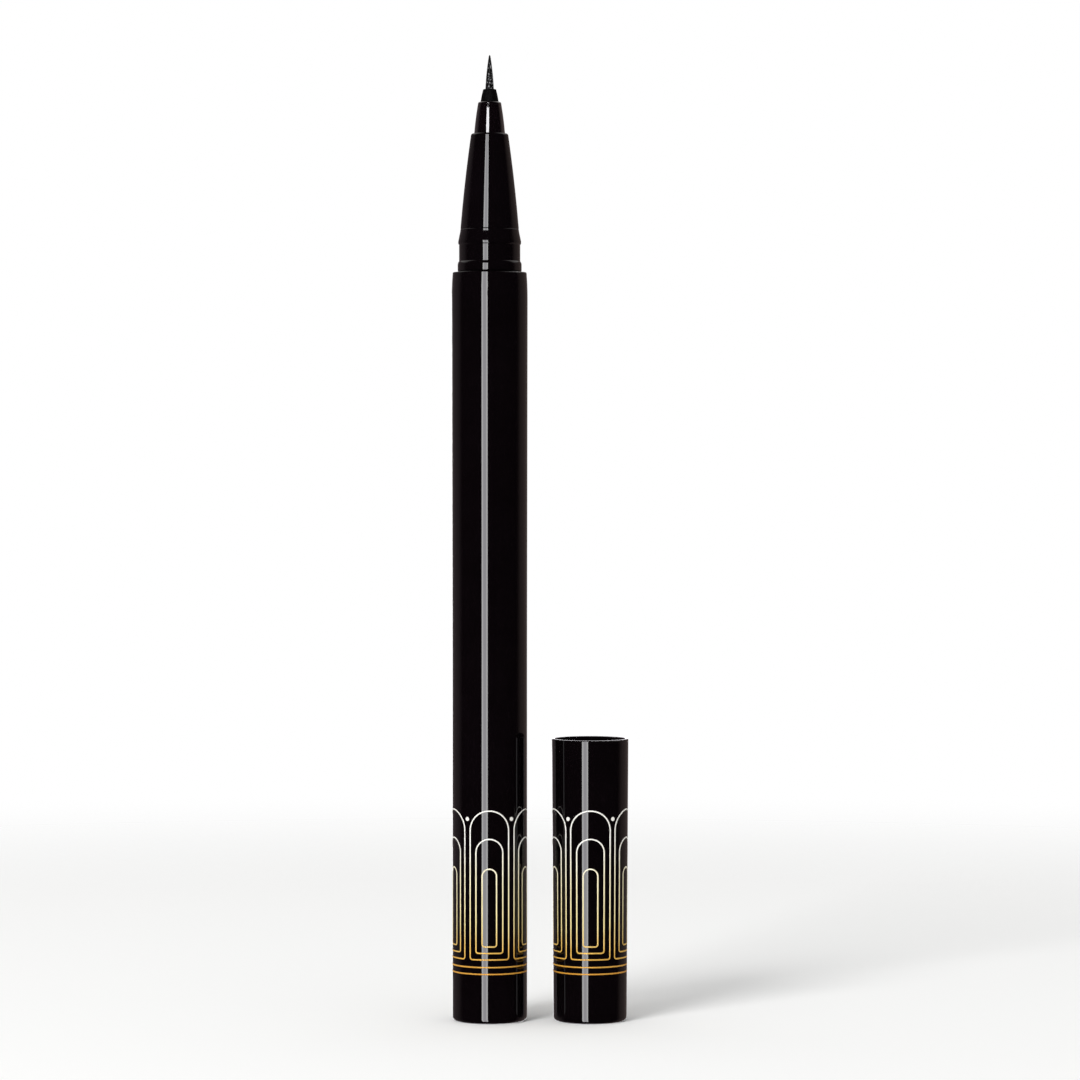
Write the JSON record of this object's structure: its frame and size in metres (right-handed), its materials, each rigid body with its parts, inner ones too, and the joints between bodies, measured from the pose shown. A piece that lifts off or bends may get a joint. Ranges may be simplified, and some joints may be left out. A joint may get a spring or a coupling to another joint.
{
  "type": "liquid eyeliner pen",
  "caption": "Slim glossy black liquid eyeliner pen, uncapped, with a conical grip and a pointed felt nib, and its click-on cap with a sprung inner cap standing beside it.",
  "frame": {"origin": "centre of the barrel's flat base, on the surface that the pen stands on", "axes": "+Z along the pen's axis towards the tip, +X from the pen towards the cap that stands beside it"},
  "size_m": [0.0233, 0.01, 0.1271],
  "materials": {
    "gloss_black_abs": "high-gloss injection moulded black ABS",
    "satin_black_pp": "satin moulded black polypropylene",
    "black_felt": "bonded fibre tip, wet with black liquid",
    "soaked_fibre": "bundled polyester fibre soaked with black liquid",
    "clear_film": "thin clear polypropylene film",
    "natural_pp": "uncoloured moulded polypropylene",
    "spring_steel": "drawn stainless spring wire",
    "gold_foil": "hot-stamped metallic gold foil"
  },
  "bodies": {
    "pen": {"barrel": "gloss_black_abs", "tail_plug": "satin_black_pp", "reservoir_core": "soaked_fibre", "reservoir_film": "clear_film", "front_section": "gloss_black_abs", "nozzle": "gloss_black_abs", "nib_collar": "satin_black_pp", "nib": "black_felt", "feed_wick": "soaked_fibre", "wick_holder": "natural_pp"},
    "cap": {"cap_shell": "gloss_black_abs", "cap_liner": "satin_black_pp", "inner_cap_spring": "spring_steel"},
    "inner_cap": {"inner_cap": "satin_black_pp"}
  },
  "joints": [
    {"name": "cap_lift", "type": "slide", "parent": "pen", "child": "cap", "axis": [0, 0, 1], "range_m": [0, 0.13]},
    {"name": "inner_cap_press", "type": "slide", "parent": "cap", "child": "inner_cap", "axis": [0, 0, -1], "range_m": [0, 0.0012], "stiffness_N_per_m": 250, "deforming": ["inner_cap_spring"]}
  ]
}
